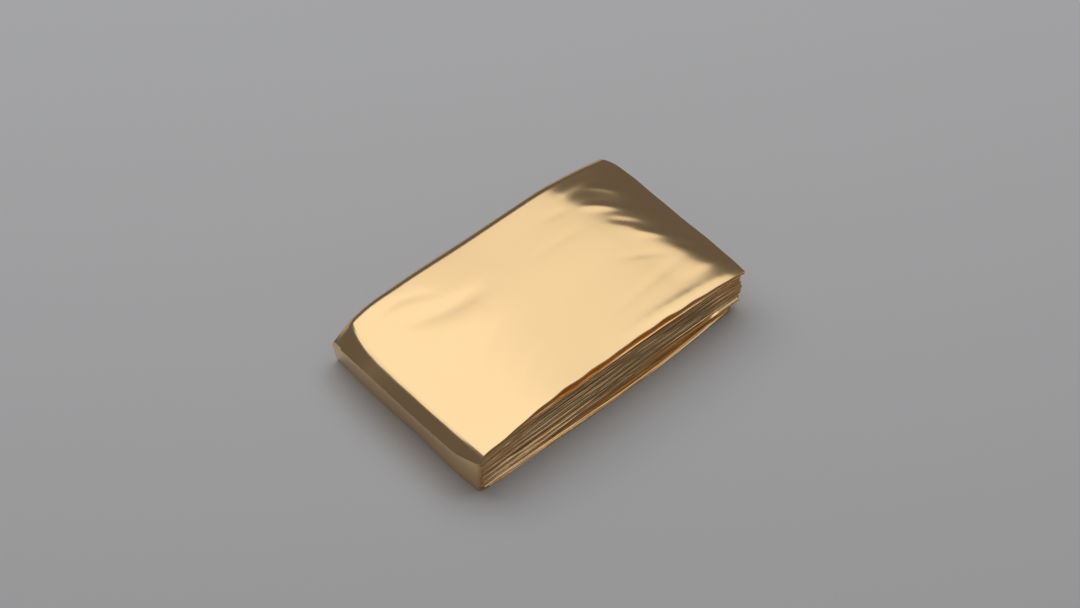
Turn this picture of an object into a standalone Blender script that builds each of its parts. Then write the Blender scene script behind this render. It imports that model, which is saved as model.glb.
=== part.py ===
"""Emergency foil blanket, folded to a palm-sized packet. One closed solid: the
folded strip as one back-and-forth section, nine passes a little apart, lofted
across the packet. The last pass goes round the near end as a creased spine.

Metres, +Z up, origin at the bottom centre. +X runs along the packet, away from
the spine, and -Y is the side where the plies show."""

import bpy
import numpy as np

# Sizes in millimetres.
WIDTH = 73.5  # across the packet
SHEET = 1.4  # one pass of the folded strip
GAP = 0.5  # between passes where the packet is pressed flat
TUCK = 1.6  # how far the inner folds stop inside the spine
ROUND = 0.45  # how far the folded long edges are rounded back
FOOT_BEND = 1.6  # how far from each corner of the spine its bend starts
CREASE_BEND = 0.8
SHOULDER_BEND = 1.3
FURTHEST = 45.0  # no inner fold stops further than this from the spine

# How many points each stretch of a section has.
FLOOR_POINTS = 11
RUN_POINTS = 12
TOP_POINTS = 24
TURN_STEPS = 6

# One row for each section across the packet, from the side with the plies to the
# far side. The spine goes from its foot on the floor to the crease, then to the
# shoulder, and the top goes on over the heights that follow, to its far end.
SECTION = ("across", "foot_x", "crease_x", "crease_z", "shoulder_x", "shoulder_z",
           "z_at_14", "z_at_28", "z_at_60", "z_at_98", "z_at_116", "end_x", "end_z")
SECTIONS = [
    (0.00, -1.0, -1.8, 15.4, 0.2, 17.5, 19.7, 21.7, 22.3, 20.8, 18.8, 122.0, 17.3),
    (0.10, -1.4, -3.4, 14.3, 0.0, 17.8, 19.5, 21.2, 22.1, 21.0, 18.9, 123.0, 15.9),
    (0.25, -1.4, -3.7, 13.8, 0.0, 17.8, 19.0, 20.4, 21.5, 20.9, 18.7, 124.0, 15.4),
    (0.42, -0.9, -3.7, 13.6, 0.0, 17.6, 18.8, 20.0, 21.1, 20.8, 18.5, 124.4, 15.2),
    (0.58, -0.9, -3.7, 13.8, 0.1, 17.6, 19.0, 20.1, 20.7, 20.6, 18.3, 124.8, 15.2),
    (0.72, -0.9, -3.5, 13.6, 0.6, 17.6, 19.4, 20.4, 20.3, 20.2, 18.1, 125.2, 15.0),
    (0.84, -0.7, -3.0, 12.7, 1.7, 17.5, 19.6, 20.4, 19.9, 19.6, 17.9, 125.3, 14.9),
    (0.93, -0.3, -2.4, 11.4, 3.4, 17.0, 19.1, 19.8, 19.2, 18.8, 17.7, 124.8, 15.1),
    (1.00, -0.1, -1.8, 9.6, 5.4, 15.8, 17.9, 18.4, 17.8, 17.6, 17.2, 122.4, 16.4),
]

# One row for each pass, from the floor up: where its folded long edge stands on
# the ply side at the spine, the middle and the far end, how far it stands out on
# the other side, how much of the packet's puffed height opens up under it, and
# how far along its fold at the far end stands.
PASS = ("front_left", "front_middle", "front_right", "back", "opens", "far_x")
PASSES = [
    (-1.3, -2.4, -0.2, 0.0, 0.00, 117.2),
    (0.2, 0.4, 1.0, 0.2, 0.16, 117.2),
    (-0.1, 0.0, -0.3, -0.4, 0.12, 120.0),
    (0.7, 0.1, 0.0, 0.1, 0.05, 120.0),
    (0.3, 0.7, 0.4, -0.2, 0.06, 121.6),
    (0.8, 0.2, 0.0, 0.2, 0.05, 121.6),
    (0.3, 0.8, 0.5, -0.3, 0.05, 120.4),
    (0.6, 0.2, 0.2, 0.0, 0.10, 120.4),
    (0.0, 1.3, 0.2, 0.0, 0.41, 122.0),
]
TOP = len(PASSES) - 1
COLUMN = dict(zip(PASS, np.array(PASSES).T))


def curve(x, knots, values):
    """Cubic curve through the values at the knots, with its slopes taken from their
    neighbours. Past the first and last knots it keeps their values."""
    knots, values = np.asarray(knots, float), np.asarray(values, float)
    slope = np.gradient(values, knots)
    x = np.clip(x, knots[0], knots[-1])
    i = np.clip(np.searchsorted(knots, x) - 1, 0, len(knots) - 2)
    span = knots[i + 1] - knots[i]
    t = (x - knots[i]) / span
    return ((1 + 2 * t) * (1 - t) ** 2 * values[i] + t * (1 - t) ** 2 * span * slope[i]
            + t * t * (3 - 2 * t) * values[i + 1] + t * t * (t - 1) * span * slope[i + 1])


def top_height(row, x):
    """Height of the packet's outer surface over x, from the shoulder on."""
    names = [name for name in SECTION if name.startswith("z_at_")]
    return curve(x, [row["shoulder_x"], *(float(n[5:]) for n in names), row["end_x"]],
                 [row["shoulder_z"], *(row[n] for n in names), row["end_z"]])


def far_end(row, k):
    """How far the fold at the far end of pass k reaches, bowed out as the top is."""
    return COLUMN["far_x"][k] + 0.5 * (row["end_x"] - COLUMN["far_x"][TOP])


PRESSED = len(PASSES) * SHEET + TOP * GAP  # height with every gap at its least


def pass_height(row, k, x):
    """Height of the middle of pass k over x. Where the packet is puffed up, the
    gaps take the spare height by their shares."""
    if k == TOP:
        return top_height(row, x) - SHEET / 2
    spare = np.maximum(top_height(row, x) - PRESSED, 0.0)
    return k * (SHEET + GAP) + SHEET / 2 + spare * COLUMN["opens"][: k + 1].sum()


def arc(x, low, high, turn, steps=TURN_STEPS):
    """Half circle between two heights, bulging by turn, -1 or +1, with its ends at x."""
    a = np.linspace(-np.pi / 2, np.pi / 2, steps + 1)
    r = (high - low) / 2
    return np.stack([x + turn * r * np.cos(a), (low + high) / 2 + r * np.sin(a)], 1)


def rounded(corner, before, after, reach, steps=4):
    """A corner taken off by a curve that starts at reach from it on both sides."""
    a = corner + (before - corner) * reach / np.linalg.norm(before - corner)
    b = corner + (after - corner) * reach / np.linalg.norm(after - corner)
    t = np.linspace(0, 1, steps + 1)[:, None]
    return (1 - t) ** 2 * a + 2 * t * (1 - t) * corner + t * t * b


def thicken(line):
    """Both faces of the sheet round its middle line, half a sheet to each side."""
    step = np.diff(line, axis=0)
    step /= np.linalg.norm(step, axis=1)[:, None]
    along = np.vstack([step[:1], step[:-1] + step[1:], step[-1:]])
    along /= np.linalg.norm(along, axis=1)[:, None]
    cosine = np.r_[1.0, (along[1:-1] * step[1:]).sum(1), 1.0]
    normal = np.stack([-along[:, 1], along[:, 0]], 1) * (SHEET / 2 / cosine)[:, None]
    return line + normal, line - normal


def wrap(row):
    """Middle line of the outermost pass: along the floor to the spine, up it over
    the crease, and back over the top. With it goes the pass of each point."""
    middle = SHEET / 2
    foot = np.array([row["foot_x"] + middle, middle])
    crease = np.array([row["crease_x"] + middle, row["crease_z"]])
    shoulder = np.array([row["shoulder_x"] + middle * 0.6, row["shoulder_z"] - middle])
    on = row["shoulder_x"] + 6.0
    parts = [
        (np.stack([np.linspace(far_end(row, 0) - SHEET - GAP / 2, foot[0] + 3.0, FLOOR_POINTS),
                   np.full(FLOOR_POINTS, middle)], 1), 0),
        (rounded(foot, foot + np.array([10.0, 0.0]), crease, FOOT_BEND), 0),
        (rounded(crease, foot, shoulder, CREASE_BEND, 2), TOP / 2),
        (rounded(shoulder, crease, np.array([on, pass_height(row, TOP, on)]),
                 SHOULDER_BEND), TOP),
    ]
    t = np.linspace(0, 1, TOP_POINTS)
    t = t - 0.6 * np.sin(2 * np.pi * t) / (2 * np.pi)  # closer together at both ends
    x = row["shoulder_x"] + 3.5 + (row["end_x"] - 0.3 - row["shoulder_x"] - 3.5) * t
    parts.append((np.stack([x, pass_height(row, TOP, x)], 1), TOP))
    return (np.concatenate([p for p, _ in parts]),
            np.concatenate([np.full(len(p), float(k)) for p, k in parts]))


def near_end(row, k, inside):
    """Where the fold whose upper pass is k turns back near the spine: as far out
    as leaves a gap under the wrap, all along the slope that follows. inside is
    the wrap's inner face."""
    at = np.r_[0, np.cumsum(np.linalg.norm(np.diff(inside, axis=0), axis=1))]
    s = np.arange(0, at[-1], 0.3)
    wall = np.stack([np.interp(s, at, inside[:, 0]), np.interp(s, at, inside[:, 1])], 1)
    roof = inside[-TOP_POINTS:]
    r = SHEET + GAP / 2
    for x in np.arange(row["foot_x"] + SHEET + TUCK, FURTHEST, 0.2):
        top = x + r + np.linspace(0, 20, 40)
        face = pass_height(row, k, top) + SHEET / 2
        reach = np.concatenate([arc(x + r, face[0] - 2 * r, face[0], -1, 12),
                                np.stack([top, face], 1)])
        apart = np.linalg.norm(reach[:, None] - wall[None], axis=2).min()
        if apart > GAP - 0.05 and (face < np.interp(top, *roof.T)).all():
            return x
    return FURTHEST


def section(row):
    """Middle line of the whole strip in one section, and the pass that each of
    its points belongs to. It starts inside, at the free end by the spine."""
    line, owner = wrap(row)
    inside = thicken(line)[1]
    near = {k: near_end(row, k, inside) for k in (*range(TOP - 2, 0, -2), TOP - 1)}
    r = SHEET + GAP / 2
    points, passes = [], []
    for k in range(TOP - 1, 0, -1):
        outward = k % 2 == 1
        start = near[k] if k in near else near[k + 1]
        x = np.linspace(start + r, far_end(row, k) - r, RUN_POINTS)[:: 1 if outward else -1]
        points.append(np.stack([x, pass_height(row, k, x)], 1))
        passes.append(np.full(RUN_POINTS, float(k)))
        turn = arc(x[-1], pass_height(row, k - 1, x[-1]), pass_height(row, k, x[-1]),
                   1 if outward else -1)
        points.append(turn[::-1][1:-1])
        passes.append(np.linspace(k, k - 1, TURN_STEPS + 1)[1:-1])
    return np.concatenate([*points, line]), np.concatenate([*passes, owner])


def long_edge(x, owner, side):
    """Where the folded long edges stand, on the ply side or the other one."""
    lower = np.floor(owner).astype(int)
    upper = np.minimum(lower + 1, TOP)
    share = owner - lower
    if side == "back":
        return WIDTH + (1 - share) * COLUMN["back"][lower] + share * COLUMN["back"][upper]
    t = np.clip(x / 121.0, 0, 1)
    stands = [curve(t, [0, 0.5, 1], [COLUMN["front_left"][k], COLUMN["front_middle"][k],
                                     COLUMN["front_right"][k]]) for k in range(TOP + 1)]
    stands = np.array(stands)
    at = np.arange(len(x))
    return (1 - share) * stands[lower, at] + share * stands[upper, at]


def rings():
    """The solid's sections from the ply side to the other: at each end a narrower
    ring, so that the folded edges are rounded, then the sheet's two faces."""
    rows = [dict(zip(SECTION, r)) for r in SECTIONS]
    upper, lower, middle = [], [], []
    for row in rows:
        line, owner = section(row)
        a, b = thicken(line)
        front = long_edge(line[:, 0], owner, "front")
        back = long_edge(line[:, 0], owner, "back")
        inset = ROUND if row["across"] in (0.0, 1.0) else 0.0
        y = front + (back - front) * row["across"] + inset * (1 - 2 * row["across"])
        edge = y - inset * (1 - 2 * row["across"])
        for store, face, across in ((upper, a, y), (lower, b, y), (middle, line, edge)):
            store.append(np.stack([face[:, 0], across, face[:, 1]], 1))
    return np.array(upper), np.array(lower), middle[0], middle[-1]


def solid():
    """The closed surface over the rings: its points in metres, and its faces."""
    upper, lower, first, last = rings()
    n, m = upper.shape[:2]
    points = np.concatenate([upper.reshape(-1, 3), lower.reshape(-1, 3), first, last])
    faces = []

    def up(j, i):
        return j * m + i

    def down(j, i):
        return n * m + j * m + i

    def edge_0(i):
        return 2 * n * m + i

    def edge_1(i):
        return 2 * n * m + m + i

    for j in range(n - 1):
        for i in range(m - 1):
            faces.append((up(j, i), up(j, i + 1), up(j + 1, i + 1), up(j + 1, i)))
            faces.append((down(j, i), down(j + 1, i), down(j + 1, i + 1), down(j, i + 1)))
        for i in (0, m - 1):  # the two cut ends of the strip
            quad = (up(j, i), up(j + 1, i), down(j + 1, i), down(j, i))
            faces.append(quad if i == 0 else quad[::-1])
    for i in range(m - 1):  # the rounded long edges
        faces.append((edge_0(i), edge_0(i + 1), up(0, i + 1), up(0, i)))
        faces.append((edge_0(i + 1), edge_0(i), down(0, i), down(0, i + 1)))
        faces.append((edge_1(i + 1), edge_1(i), up(n - 1, i), up(n - 1, i + 1)))
        faces.append((edge_1(i), edge_1(i + 1), down(n - 1, i + 1), down(n - 1, i)))
    for edge, j in ((edge_0, 0), (edge_1, n - 1)):
        for i in (0, m - 1):
            tri = (edge(i), up(j, i), down(j, i))
            faces.append(tri if (j == 0) == (i == 0) else tri[::-1])
    low, high = points.min(0), points.max(0)
    points -= [(low[0] + high[0]) / 2, (low[1] + high[1]) / 2, low[2]]
    return points / 1000, faces


def main():
    for ob in list(bpy.data.objects):
        bpy.data.objects.remove(ob)
    points, faces = solid()
    mesh = bpy.data.meshes.new("foil_blanket")
    mesh.from_pydata(points.tolist(), [], faces)
    mesh.update()
    ob = bpy.data.objects.new("foil_blanket", mesh)
    bpy.context.collection.objects.link(ob)
    foil = bpy.data.materials.new("gold_foil")
    foil.use_nodes = True
    shader = foil.node_tree.nodes["Principled BSDF"]
    shader.inputs["Base Color"].default_value = (0.82, 0.58, 0.27, 1)
    shader.inputs["Metallic"].default_value = 1.0
    shader.inputs["Roughness"].default_value = 0.22
    mesh.materials.append(foil)


main()
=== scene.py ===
"""An emergency foil blanket: one sheet of gold film, doubled, pleated to a strip as
wide as a palm, and the strip folded back and forth into a flat packet. Sizes are
in millimetres from the packet's near left corner until they go into the mesh."""

import bpy
import numpy as np
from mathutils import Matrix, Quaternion, Vector


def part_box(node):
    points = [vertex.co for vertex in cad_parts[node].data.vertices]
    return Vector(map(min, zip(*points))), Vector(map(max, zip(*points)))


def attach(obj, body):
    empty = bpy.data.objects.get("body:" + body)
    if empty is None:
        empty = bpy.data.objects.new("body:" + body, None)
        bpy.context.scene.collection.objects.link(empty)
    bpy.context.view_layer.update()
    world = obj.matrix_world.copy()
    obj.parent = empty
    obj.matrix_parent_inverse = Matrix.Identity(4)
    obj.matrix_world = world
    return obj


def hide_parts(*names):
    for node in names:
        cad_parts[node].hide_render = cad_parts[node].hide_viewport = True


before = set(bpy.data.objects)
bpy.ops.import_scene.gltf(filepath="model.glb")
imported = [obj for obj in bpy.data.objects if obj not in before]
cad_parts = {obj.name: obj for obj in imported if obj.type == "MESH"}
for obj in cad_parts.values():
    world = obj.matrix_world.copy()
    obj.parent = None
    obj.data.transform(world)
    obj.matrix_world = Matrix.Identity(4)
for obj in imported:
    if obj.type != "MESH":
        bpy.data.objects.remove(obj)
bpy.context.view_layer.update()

# ---- The sheet's folds -----------------------------------------------------------
# A sheet of 1.6 x 2.1 m is doubled to 0.8 x 2.1 m and pleated eleven times to a
# strip 73 mm wide. The strip, 22 plies thick, is folded back and forth in 16 passes.
# The last one is carried round the near end as a spine and back over the top.
WIDTH = 73.5  # of the strip, from the side where the plies show to the far one
PANELS = 11  # pleats of the doubled sheet
PASSES_HIGH = 17
PLY = 0.036  # from one ply to the next where the packet is pressed
PITCH = 0.95  # from one pass to the next where it is pressed
TUCK = 1.8  # how far the inner folds stop inside the spine
FOOT_IN = 4.0  # from the spine's foot to where the lowest pass ends
PAST_SHOULDER = 1.2  # where the top begins
LIFT = 0.45  # how far the outermost ply stands off the others on the top

# Each row is a section across the packet: where its spine stands on the floor, is
# creased and turns over, where its top ends, and the height of the top over x.
SECTION = ("across", "foot_x", "crease_x", "crease_z", "shoulder_x", "end_x")
SECTIONS = [
    (0.00, -1.0, -1.8, 15.6, 0.2, 122.0),
    (0.10, -1.4, -3.6, 14.7, 0.0, 123.0),
    (0.25, -1.4, -3.9, 14.2, 0.0, 124.0),
    (0.42, -0.9, -3.9, 14.0, 0.0, 124.4),
    (0.58, -0.9, -3.9, 14.2, 0.1, 124.8),
    (0.72, -0.9, -3.7, 14.0, 0.6, 125.2),
    (0.84, -0.7, -3.2, 13.0, 1.7, 125.3),
    (0.93, -0.3, -2.6, 11.8, 3.4, 124.8),
    (1.00, -0.1, -2.0, 10.0, 5.4, 122.4),
]
TOP_AT = (0.0, 14.0, 28.0, 60.0, 98.0, 116.0, 126.0)
TOP_HEIGHTS = [
    (17.4, 19.7, 21.6, 22.3, 20.9, 19.0, 17.2),
    (17.8, 19.5, 21.1, 22.0, 21.0, 19.3, 17.0),
    (17.8, 19.1, 20.5, 21.5, 20.9, 19.4, 16.9),
    (17.6, 18.9, 20.1, 21.0, 20.7, 19.4, 16.9),
    (17.6, 19.0, 20.1, 20.7, 20.6, 19.4, 17.1),
    (17.5, 19.3, 20.3, 20.4, 20.3, 19.3, 17.3),
    (17.2, 19.5, 20.3, 20.1, 20.0, 19.2, 17.5),
    (16.4, 19.4, 20.2, 19.9, 19.8, 19.0, 17.6),
    (15.2, 19.2, 20.0, 19.7, 19.6, 18.8, 17.6),
]

# One row for each pass, from the floor up: where its folds stand on the side with
# the plies, at the spine, the middle and the far end, where they stand on the other
# side, and its shares of the room by which the packet is puffed up: what opens
# under it, and what swells between its own plies.
PASS = ("at_0", "at_30", "at_60", "at_90", "at_120", "back", "opens", "swells")
PASSES = np.array([
    (-1.0, -1.4, -1.9, -1.4, 0.6, 0.2, 0.00, 0.00),
    (-0.8, -1.2, -2.0, -1.3, 1.0, -0.1, 0.00, 0.01),
    (-0.5, -0.3, -0.1, 0.0, 1.2, 0.3, 0.00, 0.03),
    (-0.2, -0.1, 0.0, 0.0, 0.8, 0.0, 0.00, 0.04),
    (0.1, 0.0, -0.1, -0.6, -0.6, 0.2, 0.00, 0.04),
    (0.3, -0.3, 0.2, 0.2, 0.3, -0.3, 0.01, 0.05),
    (0.7, 0.4, 0.3, 0.3, 0.5, 0.1, 0.01, 0.05),
    (0.8, 0.3, 0.35, 0.3, 0.5, 0.3, 0.00, 0.06),
    (0.6, 0.4, 0.3, 0.25, 0.4, 0.0, 0.00, 0.06),
    (0.9, 0.3, 0.35, 0.3, 0.4, -0.2, 0.01, 0.06),
    (0.7, 0.4, 0.3, 0.25, 0.5, 0.2, 0.00, 0.06),
    (0.2, 0.5, 0.4, 0.3, 0.4, 0.1, 0.00, 0.06),
    (-0.1, 0.6, 0.4, 0.3, 0.5, 0.4, 0.01, 0.06),
    (0.5, 0.8, 0.45, 0.5, 0.6, 0.0, 0.00, 0.05),
    (1.0, 0.7, 0.45, 0.7, 0.6, 0.1, 0.01, 0.04),
    (1.3, 0.2, -0.1, 0.0, 0.2, 0.2, 0.02, 0.02),
    (0.0, 0.5, 0.6, 0.5, -0.3, 0.0, 0.05, 0.00),
])
COLUMN = dict(zip(PASS, PASSES.T))
FAR_FOLDS = (117.2, 119.0, 120.5, 121.5, 121.8, 121.2, 120.6, 120.2)  # each joins two passes


def curve(t, knots, values):
    """Cubic curve through values at the knots, with slopes taken from the
    neighbours. values may hold one array for each knot, of the shape of t."""
    knots = np.asarray(knots, float)
    values = np.stack(np.broadcast_arrays(*values))
    t = np.clip(np.broadcast_to(t, values.shape[1:] or np.shape(t)), knots[0], knots[-1])
    values = np.broadcast_to(values.reshape(len(knots), *([1] * t.ndim))
                             if values.ndim == 1 else values, (len(knots), *t.shape))
    slope = np.gradient(values, knots, axis=0)
    i = np.clip(np.searchsorted(knots, t) - 1, 0, len(knots) - 2)
    span = knots[i + 1] - knots[i]
    q = (t - knots[i]) / span

    def take(rows, at):
        return np.take_along_axis(rows, at[None], 0)[0]

    return ((1 + 2 * q) * (1 - q) ** 2 * take(values, i) + q * (1 - q) ** 2 * span * take(slope, i)
            + q * q * (3 - 2 * q) * take(values, i + 1) + q * q * (q - 1) * span * take(slope, i + 1))


ACROSS = [row[0] for row in SECTIONS]


def outline(name, y):
    """A column of SECTIONS at y."""
    return curve(y / WIDTH, ACROSS, [row[SECTION.index(name)] for row in SECTIONS])


DROOP_WIDE = 2.7  # of the rounded edge along the back of the top
DROOP_DEEP = 0.9
DROOP_FURTHEST = 1.2  # times its width, for folds that stand out past the back
DROP_RATE = 0.13  # how much steeper the top gets past the line where it bends down
DROP_BEND = 2.0
# That line: shares of the width across the packet, and where it stands at each.
BENDS_ACROSS = (0.0, 0.08, 0.16, 0.3, 0.45, 0.58, 0.66, 0.78, 0.88, 1.0)
BENDS_AT = (122.0, 119.0, 115.0, 112.0, 107.0, 105.0, 102.0, 101.0, 97.0, 96.0)


def far_drop(x, y):
    """How far the top bends down at its far end, past a slanting line, and along
    its rounded back edge."""
    line = curve(y / WIDTH, BENDS_ACROSS, BENDS_AT)
    drop = DROP_RATE * DROP_BEND * np.logaddexp(0, (x - line) / DROP_BEND)
    return drop + DROOP_DEEP * np.clip((y - WIDTH + DROOP_WIDE) / DROOP_WIDE, 0, DROOP_FURTHEST) ** 2


def top(x, y):
    """Height of the packet's top, without its creases."""
    heights = [curve(y / WIDTH, ACROSS, column) for column in np.transpose(TOP_HEIGHTS)]
    return curve(x, TOP_AT, heights) - far_drop(x, y)


def roof(x, y):
    """Height of the outermost pass over x: the spine's upper face, then the top."""
    crease_x, crease_z = outline("crease_x", y), outline("crease_z", y)
    shoulder_x = outline("shoulder_x", y)
    rise = (x - crease_x) / (shoulder_x - crease_x)
    shoulder_z = top(shoulder_x, y)
    facet = crease_z + (shoulder_z - crease_z) * np.clip(rise, 0, 1)
    return np.where(x < shoulder_x, facet, top(x, y))


PRESSED = PITCH * PASSES_HIGH  # height of all passes, lying flat


def room(x, y):
    """How much of that height there is, up to all of it, and how much over it."""
    high = roof(x, y)
    return np.minimum(high / PRESSED, 1), np.maximum(high - PRESSED, 0)


def pass_height(k, x, y):
    """Height of the middle of pass k: the passes lie PITCH apart, closer where the
    packet is pressed lower, and share the room left over where it is puffed up."""
    squeeze, spare = room(x, y)
    share = np.cumsum(COLUMN["opens"] + COLUMN["swells"])[k] - COLUMN["swells"][k] / 2
    return (k + 0.5) * PITCH * squeeze + spare * share


def ply_gap(k, x, y):
    """From one ply to the next in pass k, as far apart as the pass is swollen."""
    squeeze, spare = room(x, y)
    return PLY * squeeze + spare * COLUMN["swells"][k] / (2 * PANELS)


def spine_wall(z, y):
    """How far along the spine's inner face stands at height z."""
    foot_x, crease_x, crease_z = (outline(n, y) for n in ("foot_x", "crease_x", "crease_z"))
    shoulder_x = outline("shoulder_x", y)
    shoulder_z = top(shoulder_x, y)
    low = foot_x + (crease_x - foot_x) * z / crease_z
    high = crease_x + (shoulder_x - crease_x) * (z - crease_z) / (shoulder_z - crease_z)
    return np.where(z < crease_z, np.maximum(low, foot_x - 0.8), high)


# Rows of the grid follow the strip from its inner end. Each has the pass it is in,
# the kind of place it is at, and how far along that it is, from 0 to 1.
RUN, TURN, SPINE = 0, 1, 2
RUN_ROWS = 14
TURN_STEPS = 6
SPINE_ROWS = 26
TOP_ROWS = 120
rows = []
for k in range(PASSES_HIGH - 2, -1, -1):
    rows += [(RUN, k, q) for q in np.linspace(0, 1, RUN_ROWS)]
    if k:
        rows += [(TURN, k, q) for q in np.linspace(0, 1, TURN_STEPS + 1)[1:-1]]
rows += [(SPINE, PASSES_HIGH - 1, q) for q in np.linspace(0, 1, SPINE_ROWS)]
rows += [(RUN, PASSES_HIGH - 1, q) for q in np.linspace(0, 1, TOP_ROWS + 1)[1:]]
kind, level, along = (np.array(c) for c in zip(*rows))
level = level.astype(int)

# Columns follow the sheet across the strip, ply by ply: first the eleven panels of
# one leaf, up through the pleats, then those of the other leaf, back down.
slots = ([2 * p + p % 2 for p in range(PANELS)]
         + [2 * p + 1 - p % 2 for p in range(PANELS - 1, -1, -1)])
OUTER = PANELS  # which ply in that order is the outermost one
FINE_COLUMNS = 96  # on the outermost ply
CROWDING = 0.55  # of those columns towards its two edges
fine = np.linspace(0, 1, FINE_COLUMNS)
fine = fine - CROWDING * np.sin(2 * np.pi * fine) / (2 * np.pi)
columns = []
for n, slot in enumerate(slots):
    shares = fine if n == OUTER else (0.0, 0.5, 1.0)
    forward = n % 2 == 0  # from the back of the packet to the side with the plies
    columns += [(n, slot, 1 - q if forward else q, 0.0, slot, slot) for q in shares]
    if n < len(slots) - 1:
        middle = (slot + slots[n + 1]) / 2
        reach = abs(slots[n + 1] - slot) / 2
        columns.append((n, middle, 0.0 if forward else 1.0, reach, slot, slots[n + 1]))
ply, slot_at, across, bulge, slot_a, slot_b = (np.array(c, float) for c in zip(*columns))


def long_fold(k, x, slot, side):
    """How far the ply folds stand out of line: the pass as a whole, and each fold
    by a small sway of its own along the packet."""
    whole = COLUMN["back"][k] + 0.0 * x
    if side == "front":
        stands = [n for n in PASS if n.startswith("at_")]
        whole = curve(x, [float(n[3:]) for n in stands], [COLUMN[n][k] for n in stands])
    own = 12.9898 * k + 4.1414 * slot + (7.7 if side == "back" else 0.0)
    sway = 0.07 * np.sin(own + x / 9.0) + 0.09 * np.sin(1.7 * own + x / 23.0)
    if k == PASSES_HIGH - 1 and side == "front":
        sway = 0.22 * np.sin(x / 3.7 + 1.0) * np.sin(x / 8.3) + 0.12 * np.sin(x / 1.9)
    return whole + sway


# ---- Creases of the top ----------------------------------------------------------
# Soft troughs and ridges of the outermost ply. Each runs from its start through a
# bend to its end, and has a half-width and a height, less than nothing for a trough.
CREASE = ("x0", "y0", "x1", "y1", "x2", "y2", "wide", "high")
CREASES = [
    (14.0, 60.0, 32.0, 50.0, 50.0, 53.0, 3.4, -0.40),
    (9.0, 65.0, 22.0, 71.0, 34.0, 60.0, 2.0, -0.15),
    (12.0, 46.0, 28.0, 42.0, 44.0, 46.0, 5.0, 0.22),
    (20.0, 25.0, 32.0, 33.0, 45.0, 38.0, 2.2, -0.08),
    (6.0, 14.0, 13.0, 23.0, 22.0, 30.0, 1.8, -0.08),
    (26.0, 8.0, 34.0, 16.0, 46.0, 20.0, 2.0, -0.06),
    (68.0, 50.0, 80.0, 51.5, 92.0, 49.0, 1.6, -0.06),
    (82.0, 60.0, 88.0, 62.0, 94.0, 59.0, 1.8, -0.06),
    (90.0, 31.0, 99.0, 28.0, 107.0, 21.0, 1.5, -0.08),
    (72.0, 13.0, 92.0, 16.0, 112.0, 18.0, 2.0, -0.08),
    (70.0, 4.2, 96.0, 3.8, 121.0, 1.5, 2.4, 0.26),
    (100.0, 8.5, 110.0, 9.0, 119.0, 6.5, 2.4, -0.12),
    (98.0, 57.0, 104.0, 54.0, 111.0, 46.0, 1.6, 0.26),
    (101.0, 47.0, 105.0, 43.0, 110.0, 37.0, 1.4, -0.20),
    (104.0, 37.0, 108.0, 33.0, 114.0, 27.0, 1.5, 0.20),
    (106.0, 64.0, 111.0, 61.0, 115.0, 54.0, 1.6, 0.24),
    (95.0, 66.0, 103.0, 68.0, 112.0, 66.0, 2.4, 0.20),
    (112.0, 24.0, 115.0, 21.0, 118.0, 15.0, 1.2, -0.16),
]


def relief(x, y):
    """Height of the creases over the top: each is a bell curve across a curved
    line, fading out at both ends."""
    height = np.zeros(np.broadcast(x, y).shape)
    for row in CREASES:
        c = dict(zip(CREASE, row))
        t = np.linspace(0, 1, 41)
        px = (1 - t) ** 2 * c["x0"] + 2 * t * (1 - t) * c["x1"] + t * t * c["x2"]
        py = (1 - t) ** 2 * c["y0"] + 2 * t * (1 - t) * c["y1"] + t * t * c["y2"]
        away = (x[..., None] - px) ** 2 + (y[..., None] - py) ** 2
        nearest = away.argmin(-1)
        fade = np.sin(np.pi * np.clip(t[nearest], 0.02, 0.98)) ** 0.6
        height += c["high"] * fade * np.exp(-away.min(-1) / c["wide"] ** 2)
    return height


# ---- The surface -----------------------------------------------------------------
def place(row, y):
    """Middle line of the strip at one row of the grid, for every y: x and z."""
    what, k, q = kind[row], level[row], along[row]
    if what == SPINE:
        foot_x, crease_x, crease_z = (outline(n, y) for n in ("foot_x", "crease_x", "crease_z"))
        shoulder_x = outline("shoulder_x", y)
        shoulder_z = top(shoulder_x, y)
        px = np.stack([foot_x + FOOT_IN, foot_x + 0.5, foot_x, crease_x, shoulder_x,
                       shoulder_x + PAST_SHOULDER])
        pz = np.stack([0 * y, 0 * y, 0.6 + 0 * y, crease_z, shoulder_z - 0.35,
                       top(shoulder_x + PAST_SHOULDER, y)])
        stops = np.array([0.0, 0.12, 0.18, 0.55, 0.88, 1.0])
        i = min(np.searchsorted(stops, q, side="right") - 1, 4)
        s = (q - stops[i]) / (stops[i + 1] - stops[i])
        return px[i] + (px[i + 1] - px[i]) * s, pz[i] + (pz[i + 1] - pz[i]) * s
    if k == PASSES_HIGH - 1:
        start = outline("shoulder_x", y) + PAST_SHOULDER
        x = start + (outline("end_x", y) - start) * q
        return x, top(x, y)
    outward = k % 2 == 1

    def far(k):
        return FAR_FOLDS[k // 2] + 0.5 * (outline("end_x", y) - SECTIONS[0][5])

    def near(k):
        lower = 2 * ((k - 1) // 2) + 1 if k < PASSES_HIGH - 2 else k
        return spine_wall((lower + 1) * PITCH, y) + TUCK

    start_x, end_x = (near(k), far(k)) if outward else (far(k), near(k))
    turn = PITCH / 2 * (1 if outward else -1)
    if k == 0:
        end_x = outline("foot_x", y) + FOOT_IN
        x = start_x - PITCH / 2 + (end_x - start_x + PITCH / 2) * q
        return x, 0 * y
    if what == RUN:
        first = start_x + turn if k < PASSES_HIGH - 2 else start_x
        x = first + (end_x - turn - first) * q
        return x, pass_height(k, x, y)
    x = end_x - turn
    upper = pass_height(k, x, y)
    lower = pass_height(k - 1, x, y) if k > 1 else 0 * y
    angle = np.pi * q
    return (x + turn * np.sin(angle),
            (upper + lower) / 2 + (upper - lower) / 2 * np.cos(angle))


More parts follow.
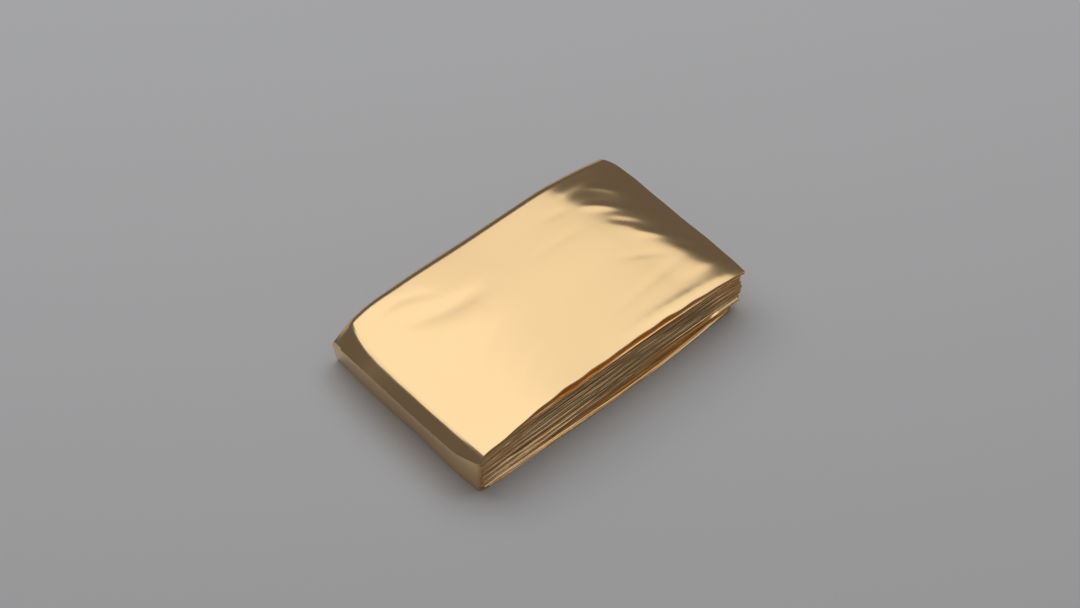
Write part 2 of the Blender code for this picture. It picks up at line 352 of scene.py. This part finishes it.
def surface():
    """The whole sheet as a grid, rows along the strip and columns across the plies.
    Every point stands off the strip's middle line, along its normal, by its ply."""
    shape = (len(kind), len(columns))
    y = np.zeros(shape)
    middle = np.zeros((2, *shape))
    for row in range(shape[0]):
        x_guess = place(row, np.full(shape[1], WIDTH / 2))[0]
        centre = (slot_a + slot_b) / 2
        fold_slot = np.where(bulge > 0, centre, slot_at)
        front = long_fold(level[row], x_guess, np.round(fold_slot / 4), "front")
        back = WIDTH + long_fold(level[row], x_guess, np.round((fold_slot + 2) / 4), "back")
        y[row] = front + (back - front) * across
        y[row] += np.where(across < 0.5, -1, 1) * bulge * PLY
        middle[:, row] = place(row, y[row])
    step = np.diff(middle, axis=1)
    step /= np.maximum(np.linalg.norm(step, axis=0), 1e-9)
    tangent = np.concatenate([step[:, :1], step[:, :-1] + step[:, 1:], step[:, -1:]], 1)
    tangent /= np.maximum(np.linalg.norm(tangent, axis=0), 1e-9)
    normal = np.stack([-tangent[1], tangent[0]])
    gap = np.full(shape, PLY)
    for k in range(1, PASSES_HIGH - 1):
        inner = (level == k) & (kind == RUN)
        gap[inner] = ply_gap(k, middle[0][inner], y[inner])
    for row in np.flatnonzero(kind == TURN):
        before = row - round(along[row] * TURN_STEPS)
        after = before + TURN_STEPS
        gap[row] = gap[before] + (gap[after] - gap[before]) * along[row]
    off = (slot_at - (2 * PANELS - 1) / 2) * gap
    wrapped = ((kind == SPINE) | (level == PASSES_HIGH - 1) | (level == 0))[:, None]
    off -= np.where(wrapped, (2 * PANELS - 1) / 2 * PLY, 0.0)
    wide = (kind == SPINE) | (level == PASSES_HIGH - 1)
    under = (ply != OUTER)[None, :] & wide[:, None]
    off -= np.where(under, LIFT, 0.0)
    x, z = middle + normal * off
    on_top = (level == PASSES_HIGH - 1) & (kind == RUN)
    z[on_top] += relief(x[on_top], y[on_top])
    return x, y, z


x, y, z = surface()
low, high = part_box("foil_blanket")
CORNER_X, CORNER_Y = 0.00357, 0.00241  # the near left corner, in that box, in metres
points = np.stack([x / 1000 + low.x + CORNER_X, y / 1000 + low.y + CORNER_Y, z / 1000], -1)
n_rows, n_columns = x.shape
corner = np.arange(n_rows * n_columns).reshape(n_rows, n_columns)
quads = np.stack([corner[:-1, :-1], corner[:-1, 1:], corner[1:, 1:], corner[1:, :-1]], -1)
mesh = bpy.data.meshes.new("foil_sheet")
mesh.from_pydata(points.reshape(-1, 3).tolist(), [], quads.reshape(-1, 4).tolist())
mesh.shade_smooth()
SHARP_FROM = 50  # degrees
mesh.set_sharp_from_angle(angle=np.radians(SHARP_FROM))
blanket = bpy.data.objects.new("foil_sheet", mesh)
bpy.context.collection.objects.link(blanket)


def linear(hex_colour):
    """An sRGB hex colour as linear red, green, blue and a full alpha."""
    value = np.array([int(hex_colour[i:i + 2], 16) for i in (0, 2, 4)]) / 255
    value = np.where(value <= 0.04045, value / 12.92, ((value + 0.055) / 1.055) ** 2.4)
    return (*value, 1.0)


# Gold-tinted metallised polyester film: bright as a mirror, but for a haze of fine
# crinkles that blurs what it reflects.
foil = bpy.data.materials.new("gold_metallised_film")
foil.use_nodes = True
shader = foil.node_tree.nodes["Principled BSDF"]
shader.inputs["Base Color"].default_value = linear("f9d7a2")
shader.inputs["Metallic"].default_value = 1.0
shader.inputs["Roughness"].default_value = 0.2
mesh.materials.append(foil)

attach(blanket, "root")
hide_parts("foil_blanket")

# ---- Floor, light and camera -----------------------------------------------------
# A plain pale floor, and three soft boxes behind, over and to the left of the packet.
floor_mesh = bpy.data.meshes.new("floor")
HALF_FLOOR = 4.0
floor_mesh.from_pydata([(a * HALF_FLOOR, b * HALF_FLOOR, 0)
                        for a, b in ((-1, -1), (1, -1), (1, 1), (-1, 1))], [], [(0, 1, 2, 3)])
floor = bpy.data.objects.new("floor", floor_mesh)
bpy.context.collection.objects.link(floor)
paper = bpy.data.materials.new("pale_paper")
paper.use_nodes = True
paper.node_tree.nodes["Principled BSDF"].inputs["Base Color"].default_value = linear("eef1f3")
paper.node_tree.nodes["Principled BSDF"].inputs["Roughness"].default_value = 0.7
floor_mesh.materials.append(paper)

world = bpy.data.worlds.new("studio")
bpy.context.scene.world = world
world.use_nodes = True
world.node_tree.nodes["Background"].inputs["Color"].default_value = (0.118, 0.108, 0.108, 1)
bpy.context.scene.view_settings.view_transform = "Standard"

BOX_HEIGHT = 1.2
BOX_AZIMUTH = 44.6  # from +Y towards +X, away from the camera


def soft_box(name, near, far, left, right, radiance):
    """A soft box that hangs level over the packet, between two distances from it
    along BOX_AZIMUTH and two across that, as bright from wherever it is seen."""
    light = bpy.data.lights.new(name, "AREA")
    light.shape = "RECTANGLE"
    light.size = right - left
    light.size_y = far - near
    light.energy = radiance * np.pi * light.size * light.size_y
    ob = bpy.data.objects.new(name, light)
    turn = np.radians(BOX_AZIMUTH)
    ahead, aside = (near + far) / 2, (left + right) / 2
    ob.location = (np.sin(turn) * ahead + np.cos(turn) * aside,
                   np.cos(turn) * ahead - np.sin(turn) * aside, BOX_HEIGHT)
    ob.rotation_euler = (0, 0, -turn)
    ob.visible_camera = False
    bpy.context.collection.objects.link(ob)


soft_box("back_box", 0.94, 1.50, -0.60, 0.90, 0.84)
soft_box("top_box", 0.05, 0.94, -0.60, 0.90, 0.97)
soft_box("left_box", 0.10, 1.50, -1.75, -0.60, 0.95)

AIM = Vector((0.0025, 0.0045, 0.010))
DISTANCE = 1.0714
LENS = 103.7
LOOKS_TOWARDS, LOOKS_DOWN, ROLL = 44.65, 50.26, 2.73  # degrees, the first as BOX_AZIMUTH
camera_data = bpy.data.cameras.new("camera")
camera_data.lens = LENS
camera = bpy.data.objects.new("camera", camera_data)
bpy.context.collection.objects.link(camera)
a, e = np.radians([LOOKS_TOWARDS, LOOKS_DOWN])
forward = Vector((np.sin(a) * np.cos(e), np.cos(a) * np.cos(e), -np.sin(e)))
camera.location = AIM - forward * DISTANCE
turn = forward.to_track_quat("-Z", "Y") @ Quaternion((0, 0, 1), np.radians(ROLL))
camera.rotation_euler = turn.to_euler()
bpy.context.scene.camera = camera
